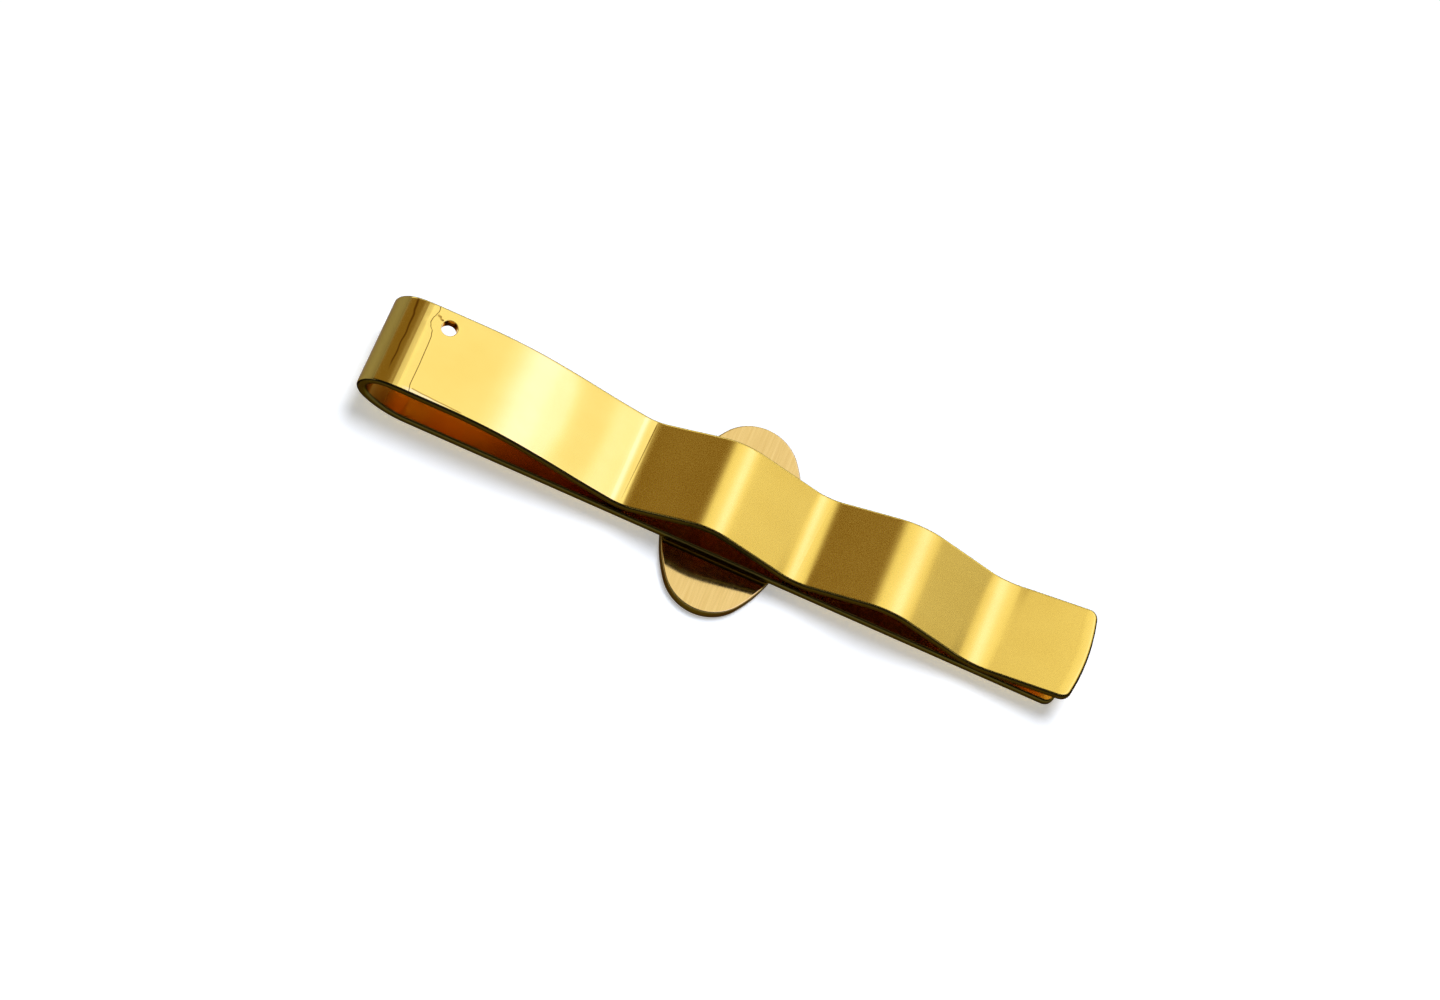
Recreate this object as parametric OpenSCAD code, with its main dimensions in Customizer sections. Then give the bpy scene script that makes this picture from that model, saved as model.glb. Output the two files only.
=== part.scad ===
// Tie clip: one gold-plated spring strip is folded into a flat front bar and a wavy back leg, and
// an oval plate is soldered across the bar. It lies front down, with the plate's face on z = 0,
// the fold at -X and the open mouth at +X. All lengths are in millimetres.

/* [Strip] */
// Width of the strip that the bar, the fold and the leg are bent from
strip_w = 7.6; // [5:0.1:12]
// Thickness of the strip
strip_t = 0.8; // [0.5:0.05:1.1]
// Radius tumbled onto the edges of the strip
edge_r = 0.22; // [0.05:0.01:0.24]
// Radius of the bowed cut across each end of the strip
end_arc_r = 16; // [8:0.5:40]
// Radius of the corners at each end of the strip
end_corner_r = 0.8; // [0.4:0.05:2]

/* [Fold] */
// Clear height inside the fold, between the bar and the leg
fold_gap = 3.8; // [3.2:0.1:6]
// Inside radius of the tight crown in the upper part of the fold
crown_in_r = 1.5; // [1:0.05:1.8]
// Distance from the fold's outermost line to where the easy heel meets the flat bar
heel_x = 4.3; // [3:0.1:8]

/* [Back leg] */
// Distance from the fold's outermost line to where the leg starts to bend down
shoulder_x = 7; // [6:0.1:9]
// Distance to the knee, where the level run and the falling run would cross
knee_x = 10.2; // [9.4:0.1:14]
// Distance to the first valley of the wave
valley_x = 21.2; // [18:0.2:26]
// Distance from one valley of the wave to the next
wave_pitch = 14.4; // [12:0.2:18]
// Inside radius of every bend of the wave
wave_r = 2.4; // [1.2:0.1:3]
// Distance from the last valley, which grips, to the leg's tip
tongue_l = 8.2; // [6:0.1:12]
// Clear height over the bar at the first valley
valley_1_gap = 0.85; // [0.3:0.05:1.6]
// Clear height over the bar at the first crest
crest_1_gap = 3.2; // [2:0.1:4.5]
// Clear height over the bar at the second valley
valley_2_gap = 0.7; // [0.3:0.05:1.6]
// Clear height over the bar at the second crest
crest_2_gap = 2.65; // [2:0.05:4]
// Air left at the gripping valley, which presses on the tie
grip_gap = 0.05; // [0.02:0.01:0.3]
// Clear height over the bar at the leg's tip
tip_gap = 1.5; // [0.8:0.1:3]

/* [Keeper hole] */
// Diameter of the hole in the leg, for the ring of a keeper chain
hole_d = 1.25; // [0.8:0.05:2]
// Distance from the fold's outermost line to the hole
hole_x = 4.65; // [4:0.05:5.5]
// Distance of the hole from the middle of the strip
hole_off = 2.35; // [0:0.05:2.4]

/* [Front bar] */
// How far the leg's tip stands past the end of the bar
tip_overhang = 0.8; // [0:0.1:2]

/* [Oval plate] */
// Length of the plate along the bar
plate_l = 10; // [8:0.2:13]
// Width of the plate across the bar
plate_w = 16; // [14:0.2:20]
// Thickness of the plate
plate_t = 1.2; // [0.8:0.05:2]
// Bevel round the front face of the plate
front_bevel = 0.3; // [0.1:0.05:0.4]
// Small bevel round the back face of the plate
back_bevel = 0.12; // [0.05:0.01:0.3]
// How far past the middle of the bar the plate sits, towards the mouth
plate_shift = 0.9; // [-3:0.1:3]

/* [Solder] */
// Thickness of the solder between the plate and the bar
solder_t = 0.1; // [0.05:0.01:0.2]
// How far the solder stops short of the edges that it joins
solder_inset = 0.4; // [0.2:0.05:1]

/* [Hidden] */
$fn = 96;
gold = "#D8B968";
pale_gold = "#E6CC86";
solder_grey = "#B9B4A4";

// The plate's ends have this share of its half length as their radius
plate_end_share = 0.72;
// Each side of the plate is swept this multiple of its half length deep, past the middle
plate_fill_share = 1.15;
// Each corner's circle stands this share of its radius proud of the side and the end it rounds
corner_proud_share = 0.01;
// Neighbouring stretches of the strip lap by this share of its thickness, and the tighter one
// stands proud by this share of it, so that the lap has clean edges and makes them one
lap_share = 0.02;
step_share = 0.001;
// The crown meets the heel, which stands one step proud itself, so it stands this many proud
crown_steps = 2;
// The plate's ends turn this many degrees on into its sides, this share of its thickness inside
// their face
plate_lap_turn = 3;
plate_step_share = 0.002;
// The hole's cutter runs this share of the strip's thickness past each face
overrun_share = 0.5;

// Lengths along the strip, and the frame's place
half_t = strip_t / 2;
lap = strip_t * lap_share;
step = strip_t * step_share;
end_bow = end_arc_r - sqrt(pow(end_arc_r, 2) - pow(strip_w / 2 - end_corner_r, 2));
leg_l = valley_x + 2 * wave_pitch + tongue_l;
bar_l = leg_l - tip_overhang;
bar_z = plate_t + solder_t;
plate_x = bar_l / 2 + plate_shift;

// The fold in side view: a tight crown runs into an easy heel that is tangent to the bar.
// Heights are over the bar's front face, and radii are at the middle of the strip.
fold_h = fold_gap + 2 * strip_t;
crown_r = crown_in_r + strip_t;
crown_n = crown_r - half_t;
apex_z = fold_h - crown_r;
heel_run = heel_x - crown_r;
heel_r = (pow(heel_run, 2) + pow(apex_z, 2) - pow(crown_r, 2)) / (2 * (apex_z - crown_r));
heel_n = heel_r - half_t;
heel_turn = atan2(heel_run, heel_r - apex_z);
lap_turn = atan2(lap, heel_n);

// Height of the middle of the leg where it clears the bar by a gap
function leg_z(gap) = strip_t + gap + half_t;

// A bend is [x, z, radius]: its centre, and its radius at the middle of the strip, which is
// positive where the strip turns up and negative where it turns down. A bare point has none.
wave_n = wave_r + half_t;
function valley(i, gap) = [valley_x + i * wave_pitch, leg_z(gap) + wave_n, wave_n];
function crest(i, gap) = [valley_x + (i + 1 / 2) * wave_pitch, leg_z(gap) - wave_n, -wave_n];

// Direction of the straight run that is tangent to two bends, and where it leaves a bend
function heading(a, b) =
    atan2(b[1] - a[1], b[0] - a[0]) - asin((b[2] - a[2]) / norm([b[0] - a[0], b[1] - a[1]]));
function on_bend(a, turn) = [a[0] + a[2] * sin(turn), a[1] - a[2] * cos(turn)];

// The shoulder's radius makes it start at shoulder_x and turn into the run from the knee
knee = [knee_x, leg_z(fold_gap), 0];
fall = heading(knee, valley(0, valley_1_gap));
shoulder_n = (knee_x - shoulder_x) / tan(-fall / 2);

leg_bends = [
    [crown_r, apex_z, -crown_n],
    [shoulder_x, leg_z(fold_gap) - shoulder_n, -shoulder_n],
    valley(0, valley_1_gap),
    crest(0, crest_1_gap),
    valley(1, valley_2_gap),
    crest(1, crest_2_gap),
    valley(2, grip_gap),
    [leg_l, leg_z(tip_gap), 0],
];
leg_runs = len(leg_bends) - 1;
leg_headings = [for (i = [0 : leg_runs - 1]) heading(leg_bends[i], leg_bends[i + 1])];

// The plate's outline is four arcs: two easy ones at its sides and two tight ones at its ends
half_l = plate_l / 2;
half_w = plate_w / 2;
plate_step = plate_t * plate_step_share;
tight_r = half_l * plate_end_share;
tight_y = half_w - tight_r;
easy_r = (pow(half_l, 2) + pow(tight_y, 2) - pow(tight_r, 2)) / (2 * (half_l - tight_r));
easy_x = easy_r - half_l;
easy_turn = atan2(tight_y, easy_x);

// Cross-section of the strip, thickness along X and width along Y, grown all round by some steps
module strip_section(steps) {
    grown = steps * step;
    square([strip_t - 2 * edge_r, strip_w + 2 * grown], center = true);
    square([strip_t + 2 * grown, strip_w - 2 * edge_r], center = true);
    for (x = [-1, 1], y = [-1, 1])
        translate([x * (half_t - edge_r), y * (strip_w / 2 - edge_r)])
            circle(edge_r + grown);
}

// The strip bent round a centre, from one heading to another
module bend(b, from, to, steps = 1) {
    translate([b[0], 0, b[1]])
        rotate([90, 0, 0])
            rotate([0, 0, from - sign(b[2]) * 90])
                rotate_extrude(angle = to - from)
                    translate([abs(b[2]), 0])
                        strip_section(steps);
}

// A straight run of the strip along X, lapping what it joins at both ends
module run(l) {
    translate([-lap, 0, 0])
        rotate([0, 90, 0])
            linear_extrude(height = l + 2 * lap)
                strip_section(0);
}

// A straight run that ends in the bowed cut with rounded corners
module end_run(l) {
    corner = [l - end_bow - end_corner_r, strip_w / 2 - end_corner_r];
    intersection() {
        run(l);
        translate([0, 0, -strip_t])
            linear_extrude(height = 2 * strip_t) {
                translate([-strip_w, -strip_w])
                    square([strip_w + corner[0], 2 * strip_w]);
                intersection() {
                    translate([l - end_arc_r, 0])
                        circle(end_arc_r);
                    union() {
                        translate([corner[0] - end_corner_r, -corner[1]])
                            square([strip_w, 2 * corner[1]]);
                        for (side = [-1, 1])
                            translate([corner[0], side * corner[1]])
                                circle(end_corner_r * (1 + corner_proud_share));
                    }
                }
            }
    }
}

// Puts what runs along X at a point of the side view, with a heading
module lay(p, turn) {
    translate([p[0], 0, p[1]])
        rotate([0, -turn, 0])
            children();
}

// Moves the side view, which starts at the fold, into the part's own frame
module in_frame() {
    translate([-leg_l / 2, 0, bar_z])
        children();
}

// A slab with the plate's outline, cut back all round by an inset, with a bevel on each face
module oval_slab(t, inset, low, high) {
    module sector(r, fill, turn) {
        rotate([0, 0, -turn])
            rotate_extrude(angle = 2 * turn)
                polygon([
                    [r - fill, 0],
                    [r - low, 0],
                    [r, low],
                    [r, t - high],
                    [r - high, t],
                    [r - fill, t],
                ]);
    }
    end_r = tight_r - inset - plate_step;
    for (side = [0, 180]) {
        rotate([0, 0, side])
            translate([-easy_x, 0, 0])
                sector(easy_r - inset, plate_fill_share * half_l - inset, easy_turn);
        rotate([0, 0, side + 90])
            translate([tight_y, 0, 0])
                sector(end_r, end_r, 90 - easy_turn + plate_lap_turn);
    }
}

// The flat bar at the front, with the lower part of the fold up to its outermost line
module front_bar() {
    color(gold)
        in_frame() {
            bend([crown_r, apex_z, crown_n], -90, -heel_turn, crown_steps);
            bend([heel_x, heel_r, heel_n], 0, -heel_turn - lap_turn);
            lay([heel_x, half_t], 0)
                end_run(bar_l - heel_x);
        }
}

// The sprung leg, from the fold's outermost line over the crown and along the wave to the tip
module back_leg() {
    color(gold)
        in_frame()
            difference() {
                union() {
                    bend(leg_bends[0], 90, leg_headings[0], crown_steps);
                    for (i = [1 : leg_runs - 1])
                        bend(leg_bends[i], leg_headings[i - 1], leg_headings[i]);
                    for (i = [0 : leg_runs - 2])
                        lay(on_bend(leg_bends[i], leg_headings[i]), leg_headings[i])
                            run(run_l(i));
                    tongue();
                }
                translate([hole_x, hole_off, fold_h - strip_t * (1 + overrun_share)])
                    cylinder(h = strip_t * (1 + 2 * overrun_share), d = hole_d);
            }
}

// Length of the straight run after a bend of the leg
function run_l(i) =
    norm(on_bend(leg_bends[i + 1], leg_headings[i]) - on_bend(leg_bends[i], leg_headings[i]));

// The leg's last run, ended where the lower edge of its cut reaches the leg's full length
module tongue() {
    rise = leg_headings[leg_runs - 1];
    foot = on_bend(leg_bends[leg_runs - 1], rise);
    lay(foot, rise)
        end_run((leg_l - foot[0] - half_t * sin(rise)) / cos(rise));
}

// The oval plate, front face down
module oval_plate() {
    color(pale_gold)
        translate([plate_x - leg_l / 2, 0, 0])
            oval_slab(plate_t, 0, front_bevel, back_bevel);
}

// The thin solder between the plate and the bar
module solder_film() {
    color(solder_grey)
        translate([plate_x - leg_l / 2, 0, plate_t])
            intersection() {
                linear_extrude(height = solder_t)
                    square([plate_l, strip_w - 2 * solder_inset], center = true);
                oval_slab(solder_t, solder_inset + back_bevel, 0, 0);
            }
}

front_bar();
back_leg();
oval_plate();
solder_film();
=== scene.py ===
import math
import random
import bpy
import bmesh
from mathutils import Matrix, Vector
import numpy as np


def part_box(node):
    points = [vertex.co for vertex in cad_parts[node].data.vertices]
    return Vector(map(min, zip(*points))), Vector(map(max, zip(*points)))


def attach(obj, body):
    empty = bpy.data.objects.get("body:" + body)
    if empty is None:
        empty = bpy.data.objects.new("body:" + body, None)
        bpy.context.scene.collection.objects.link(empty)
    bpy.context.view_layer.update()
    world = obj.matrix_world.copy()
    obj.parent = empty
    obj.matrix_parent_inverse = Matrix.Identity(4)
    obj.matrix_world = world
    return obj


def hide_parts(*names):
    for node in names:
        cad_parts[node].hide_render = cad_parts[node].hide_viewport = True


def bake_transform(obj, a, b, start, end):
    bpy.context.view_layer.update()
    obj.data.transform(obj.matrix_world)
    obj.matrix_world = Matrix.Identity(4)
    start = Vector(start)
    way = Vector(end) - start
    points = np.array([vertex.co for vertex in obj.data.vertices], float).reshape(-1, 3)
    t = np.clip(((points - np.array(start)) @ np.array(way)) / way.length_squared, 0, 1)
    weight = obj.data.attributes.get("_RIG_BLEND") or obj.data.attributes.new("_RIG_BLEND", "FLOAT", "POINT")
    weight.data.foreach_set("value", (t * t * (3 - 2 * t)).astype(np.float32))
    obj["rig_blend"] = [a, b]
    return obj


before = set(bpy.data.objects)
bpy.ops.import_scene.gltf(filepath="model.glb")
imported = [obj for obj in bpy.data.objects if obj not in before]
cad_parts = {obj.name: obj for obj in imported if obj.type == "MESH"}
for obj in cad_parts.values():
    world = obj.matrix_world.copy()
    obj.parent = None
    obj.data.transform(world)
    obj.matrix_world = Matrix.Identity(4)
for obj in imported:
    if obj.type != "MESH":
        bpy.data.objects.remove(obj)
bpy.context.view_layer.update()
mm = 0.001
print("frame loaded:", ", ".join(sorted(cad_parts)))


def addObject(name, data):
    made = bpy.data.objects.new(name, data)
    bpy.context.scene.collection.objects.link(made)
    return made


# The camera stands over the near side of the clip and looks down on its back leg.
camera = {
    "place": (-0.0118185, -0.1238751, 0.2738537),
    "right": (0.91394, 0.35384, 0.19878),
    "up": (-0.40420, 0.83766, 0.36735),
    "forward": (0.03652, 0.41608, -0.90859),
    "lens": 99.697,
    "sensor": 36.0,
    "nearest": 0.01,
    "farthest": 10.0,
}


def makeCamera():
    data = bpy.data.cameras.new("clipCamera")
    data.lens = camera["lens"]
    data.sensor_width = camera["sensor"]
    data.clip_start = camera["nearest"]
    data.clip_end = camera["farthest"]
    eye = addObject("clipCamera", data)
    turn = Matrix((camera["right"], camera["up"], -Vector(camera["forward"]))).transposed()
    eye.matrix_world = Matrix.Translation(camera["place"]) @ turn.to_4x4()
    bpy.context.scene.camera = eye


makeCamera()
print("camera placed")

# The strip that the bar, the fold and the leg are bent from.
strip = {
    "width": 7.6 * mm,
    "thick": 0.8 * mm,
    "edge": 0.22 * mm,  # radius tumbled onto every edge
    "edgeSteps": 6,
    "endArc": 16 * mm,  # bowed cut across each end
    "endCorner": 0.8 * mm,
    "cornerSteps": 14,
    "columns": 70,
    "rowStep": 0.4 * mm,
    "turnStep": 3,  # degrees of bend from one row to the next
    "endRows": 2.2 * mm,  # the rows bow over this length to meet an end
}

# How the strip is bent. Distances start at the fold's outermost line, and gaps at the bar.
bending = {
    "length": 58.2 * mm,
    "foldGap": 3.8 * mm,
    "crownInside": 1.5 * mm,
    "heel": 4.3 * mm,
    "shoulder": 7.0 * mm,
    "knee": 10.25 * mm,
    "waves": (  # place, gap, radius and skew across the strip, in millimetres; crests turn down
        (21.26, 0.85, 3.0, 0.03),
        (28.2, 3.2, -3.6, 0.0),
        (35.76, 0.7, 3.7, 0.1),
        (42.7, 2.65, -4.7, 0.04),
        (50.76, 0.05, 5.0, 0.13),
    ),
    "skewFull": 2.2 * mm,
    "skewGone": 3.5 * mm,
    "tipGap": 1.5 * mm,
    "tipOverhang": 0.8 * mm,
}

halfThick = strip["thick"] / 2
halfWidth = strip["width"] / 2
legLength = bending["length"]
barLength = legLength - bending["tipOverhang"]
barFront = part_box("front_bar")[0].z  # height of the bar's front face


def gapHeight(gap):  # height of the middle of the leg where it clears the bar by a gap
    return strip["thick"] + gap + halfThick


def headingBetween(a, b):  # direction of the straight run that is tangent to two bends
    across, rise = b[0] - a[0], b[1] - a[1]
    return math.atan2(rise, across) - math.asin((b[2] - a[2]) / math.hypot(across, rise))


def pointOnBend(bend, turn):
    x, z, radius = bend
    return x + radius * math.sin(turn), z - radius * math.cos(turn)


def legBends():  # each bend is x, z and radius, which is negative where the strip turns down
    crown = bending["crownInside"] + halfThick
    level = gapHeight(bending["foldGap"])
    waves = []
    for x, gap, radius, _ in bending["waves"]:
        waves.append((x * mm, gapHeight(gap * mm) + radius * mm, radius * mm))
    fall = headingBetween((bending["knee"], level, 0), waves[0])
    shoulder = (bending["knee"] - bending["shoulder"]) / math.tan(-fall / 2)
    bends = [(crown + halfThick, level - crown, -crown)]
    bends.append((bending["shoulder"], level - shoulder, -shoulder))
    return bends + waves + [(legLength, gapHeight(bending["tipGap"]), 0)]


def alongStretch(stretch, distance):
    turn = stretch["turn"] + distance * stretch["curve"]
    if stretch["curve"] == 0:
        return stretch["x"] + distance * math.cos(turn), stretch["z"] + distance * math.sin(turn), turn
    x = stretch["x"] + (math.sin(turn) - math.sin(stretch["turn"])) / stretch["curve"]
    z = stretch["z"] - (math.cos(turn) - math.cos(stretch["turn"])) / stretch["curve"]
    return x, z, turn


def addStretch(stretches, length, curve):  # one arc or straight run, from where the last one ends
    last = stretches[-1]
    x, z, turn = alongStretch(last, last["length"])
    start = last["start"] + last["length"]
    stretches.append({"start": start, "length": length, "curve": curve, "x": x, "z": z, "turn": turn})


def bendTheStrip():  # from the bar's end, round the fold and along the leg to its tip
    bends = legBends()
    crownOut, apex, crownMiddle = bends[0][0], bends[0][1], -bends[0][2]
    heelRun = bending["heel"] - crownOut
    heelOut = (heelRun**2 + apex**2 - crownOut**2) / (2 * (apex - crownOut))
    heelMiddle = heelOut - halfThick
    heelTurn = math.atan2(heelRun, heelOut - apex)
    headings = [headingBetween(a, b) for a, b in zip(bends, bends[1:])]
    barRun = barLength - bending["heel"]
    made = [{"start": 0, "length": barRun, "curve": 0, "x": barLength, "z": halfThick, "turn": math.pi}]
    addStretch(made, heelTurn * heelMiddle, -1 / heelMiddle)
    addStretch(made, (math.pi - heelTurn - headings[0]) * crownMiddle, -1 / crownMiddle)
    for i in range(len(headings) - 1):
        leaves = pointOnBend(bends[i], headings[i])
        meets = pointOnBend(bends[i + 1], headings[i])
        addStretch(made, math.dist(leaves, meets), 0)
        turned = abs(headings[i + 1] - headings[i])
        addStretch(made, turned * abs(bends[i + 1][2]), 1 / bends[i + 1][2])
    foot, rise = pointOnBend(bends[-2], headings[-1]), headings[-1]
    addStretch(made, (legLength - foot[0] - halfThick * math.sin(rise)) / math.cos(rise), 0)
    return made


stretches = bendTheStrip()
stripLength = stretches[-1]["start"] + stretches[-1]["length"]
levelRun = stretches[3]  # the level run of the leg, from the crown to the shoulder
waveArcs = stretches[6:-1:2]
waveMiddles = [arc["start"] + arc["length"] / 2 for arc in waveArcs]


# From here on, s is a place along the flat strip from the bar's end, and y is a place across it.
def fromFold(x):  # place along the strip, at a distance from the fold on the leg's first run
    return levelRun["start"] + x - levelRun["x"]


def pastFold(s):  # and the other way round
    return s - fromFold(0)


def smooth(value, low, high):  # eases from 0 to 1 while the value goes from low to high
    t = min(max((value - low) / (high - low), 0), 1)
    return t * t * (3 - 2 * t)


def between(value, rise, fall):  # eases up to 1 over one span, and back to 0 over the other
    return smooth(value, *rise) * (1 - smooth(value, *fall))


def stretchAt(s):
    found = stretches[0]
    for stretch in stretches:
        if s >= stretch["start"]:
            found = stretch
    return alongStretch(found, s - found["start"])


def skewAt(s, y):  # how far the waves lean along the strip away from its middle
    skew = 0
    for middle, wave in zip(waveMiddles, bending["waves"]):
        gone = smooth(abs(s - middle), bending["skewFull"], bending["skewGone"])
        skew += wave[3] * y * (1 - gone)
    return skew


def onStrip(s, y, h):  # where a place lies once the strip is bent; h is its height over the middle
    slip = skewAt(s, y)
    x, z, turn = stretchAt(s - slip)
    h += sway(s, y)
    x += slip * math.cos(turn) - h * math.sin(turn)
    z += slip * math.sin(turn) + h * math.cos(turn)
    return Vector((x - legLength / 2, y, z + barFront))


# The first slope sags on its way to the first valley, and the next slope makes up for it.
sag = {
    "from": 15.1 * mm,
    "to": 18.9 * mm,
    "bow": 0.7 * mm,  # it starts this much earlier at the strip's edges
    "depth": 0.13 * mm,
    "backFrom": 22.6 * mm,
    "backTo": 27.0 * mm,
}


def sway(s, y):
    start = sag["from"] - sag["bow"] * (y / halfWidth) ** 2
    sunk = smooth(s, fromFold(start), fromFold(sag["to"]))
    risen = smooth(s, fromFold(sag["backFrom"]), fromFold(sag["backTo"]))
    return -sag["depth"] * sunk * (1 - risen)


print("strip bent, %.1f mm long" % (stripLength / mm))

# Marks on the strip's outer face.
hole = {
    "x": 4.65 * mm,
    "y": 2.35 * mm,
    "radius": 0.625 * mm,
    "rim": 0.05 * mm,
    "rimSteps": 4,
    "rings": 9,
    "crowding": 1.6,  # over 1, the rings are closer together by the rim
    "patch": 0.95 * mm,  # half size of the square of rings round the hole
    "dish": 0.006 * mm,  # how far the punch drew the outer face down
    "dishReach": 0.25 * mm,
    "burr": 0.2 * mm,  # and how far it drew the inner face out
    "burrReach": 0.16 * mm,
}
bendLine = {  # where the crown's bend begins: millimetres along and across, from the near edge
    "points": ((3.86, -3.8), (3.72, -3.0), (3.73, -1.6), (3.69, 0.2), (3.66, 1.0), (3.55, 1.55),
               (3.28, 1.93), (3.16, 2.25), (3.2, 2.6), (3.33, 2.95), (3.42, 3.3), (3.34, 3.8)),
    "middle": 3.5 * mm,
    "rows": (0.12 * mm, 0.62 * mm),  # the mesh's rows follow it up to here, and not past there
    "depth": 0.011 * mm,
    "gentle": 0.3 * mm,  # width of its side towards the fold
    "steep": 0.065 * mm,  # and of the other side
    # how far painted shade darkens the bend line
    "tint": 0.75,
}
edgeLine = {  # the bend line turns along the near edge, with a painted pale highlight beyond it
    "points": ((4.0, -3.36), (5.0, -3.43), (6.3, -3.5), (7.8, -3.56)),
    "half": 0.07 * mm,
    # how far painted shade darkens the edge line
    "tint": 0.9,
    "highlightFrom": (3.0 * mm, 4.0 * mm),
    "highlightTo": (5.5 * mm, 7.8 * mm),
}
crownLine = {  # a stretch line over the crown, darkened with painted shade, which fades out towards the near edge
    "x": 1.8 * mm,  # from the fold's outermost line
    "points": ((1.84, -3.0), (1.79, -1.9), (1.83, -1.1), (1.78, -0.2), (1.84, 0.6), (1.79, 1.5),
               (1.8, 2.2), (1.7, 2.8), (1.64, 3.8)),
    "near": -2.8 * mm,  # it shows between these places across, and fades in and out inside them
    "far": 4.4 * mm,
    "fade": 1.1 * mm,
    "depth": 0.004 * mm,
    "half": (0.085 * mm, 0.14 * mm),  # at its near end and at its far end
}
droop = {  # the level run droops before the crown
    "from": 3.3 * mm,
    "growth": 1.0 * mm,
    "ease": 0.5 * mm,
    "tilt": math.radians(7.5),
    "fade": 3.0 * mm,
}
pucker = {  # a crease between the bend line and the hole
    "points": ((3.36, 3.0), (3.62, 2.92), (3.86, 2.72), (4.06, 2.7)),
    "half": 0.14 * mm,
    "depth": 0.03 * mm,
    # how far painted shade darkens the crease
    "tint": 1.0,
}
pressLines = (  # marks that the wave tool left in two of the valleys
    {"wave": 0, "ahead": 0.0, "lean": 0.04, "shown": 0.8, "half": 0.09 * mm, "depth": 0.008 * mm},
    {"wave": 2, "ahead": 0.1 * mm, "lean": 0.08, "shown": 0.6, "half": 0.12 * mm, "depth": 0.004 * mm},
)
crownTilt = math.asin((levelRun["x"] - crownLine["x"]) / levelRun["x"])
crownPlace = levelRun["start"] - crownTilt * (bending["crownInside"] + halfThick)


def lineAt(points, y):  # where a line of points along and across the strip is, at a place across
    for (xa, ya), (xb, yb) in zip(points, points[1:]):
        if y <= yb * mm:
            return (xa + (xb - xa) * smooth(y, ya * mm, yb * mm)) * mm
    return points[-1][0] * mm


def crossingAt(line, x):  # place across of a line that runs along the strip
    return lineAt([(b, a) for a, b in line["points"]], x)


def endsOf(line):  # where such a line starts and ends, from the fold
    return line["points"][0][0] * mm, line["points"][-1][0] * mm


def nearLine(distance, half):  # 1 on a line, easing to 0 at half its width
    if abs(distance) >= half:
        return 0
    return (1 + math.cos(math.pi * distance / half)) / 2


def bendLineShare(s, y):
    away = s - fromFold(lineAt(bendLine["points"], y))
    return nearLine(away, bendLine["gentle"] if away < 0 else bendLine["steep"])


def crownLineShare(s, y):
    near, far, fade = crownLine["near"], crownLine["far"], crownLine["fade"]
    shown = between(y, (near, near + fade), (far - fade, far))
    place = crownPlace + lineAt(crownLine["points"], y) - crownLine["x"]
    low, high = crownLine["half"]
    return shown * nearLine(s - place, low + (high - low) * smooth(y, 0, halfWidth))


def edgeLineShare(s, y):
    x = pastFold(s)
    first, last = endsOf(edgeLine)
    if not first <= x <= last:
        return 0
    return nearLine(y - crossingAt(edgeLine, x), edgeLine["half"])


def edgeHighlightShare(s, y):  # how far the painted highlight shows beside the near edge
    x = pastFold(s)
    line = crossingAt(edgeLine, x)
    shown = between(x, edgeLine["highlightFrom"], edgeLine["highlightTo"])
    return shown * (1 - smooth(y, line - edgeLine["half"], line))


def puckerShare(s, y):  # it shows in full along the middle half of its length
    x = pastFold(s)
    first, last = endsOf(pucker)
    length = last - first
    shown = 1 - smooth(abs(x - (first + last) / 2), length / 4, length / 2)
    return shown * nearLine(y - crossingAt(pucker, x), pucker["half"])


def creaseShadeShare(s, y):  # how far painted shade darkens the plating, along any of the crease lines
    creaseShade = max(crownLineShare(s, y), pucker["tint"] * puckerShare(s, y))
    creaseShade = max(creaseShade, edgeLine["tint"] * edgeLineShare(s, y))
    if s > fromFold(lineAt(bendLine["points"], y)):
        creaseShade = max(creaseShade, bendLine["tint"] * bendLineShare(s, y))
    return creaseShade


def droopAt(s):
    away = fromFold(droop["from"]) - s
    grown = min(max(away, 0), droop["growth"])
    eased = min(max(away - droop["growth"], 0), droop["ease"])
    depth = droop["tilt"] * (grown**2 / droop["growth"] / 2 + eased - eased**2 / droop["ease"] / 2)
    reach = droop["growth"] + droop["ease"]
    return depth * (1 - smooth(away, reach, reach + droop["fade"]))


def outerRelief(s, y):
    relief = -bendLine["depth"] * bendLineShare(s, y) - crownLine["depth"] * crownLineShare(s, y)
    relief -= droopAt(s)
    for line in pressLines:
        shown = 1 - smooth(abs(y), halfWidth * line["shown"], halfWidth)
        place = waveMiddles[line["wave"]] + line["ahead"] + line["lean"] * y
        relief -= shown * (line["depth"] * nearLine(s - place, line["half"]))
    relief -= pucker["depth"] * puckerShare(s, y)
    return relief - hole["dish"] * nearHole(s, y, hole["dishReach"])


def nearHole(s, y, reach):
    away = math.hypot(s - fromFold(hole["x"]), y - hole["y"]) - hole["radius"]
    return math.exp(-((max(away, 0) / reach) ** 2))


def cornerStart():  # angle at which an end's bow meets its rounded corner
    return math.asin((halfWidth - strip["endCorner"]) / (strip["endArc"] - strip["endCorner"]))


def acrossPlaces():  # places across the strip, closer together beside its edges
    edge, corner, steps = strip["edge"], strip["endCorner"], strip["cornerSteps"]
    start = cornerStart()
    reach = (strip["endArc"] - edge) * math.sin(start)
    middle = [reach * (2 * i / strip["columns"] - 1) for i in range(strip["columns"] + 1)]
    outer = []
    for i in range(1, steps + 1):
        angle = start + (math.pi / 2 - start) * i / steps
        outer.append(halfWidth - corner + (corner - edge) * math.sin(angle))
    return [-y for y in reversed(outer)] + middle + outer


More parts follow.
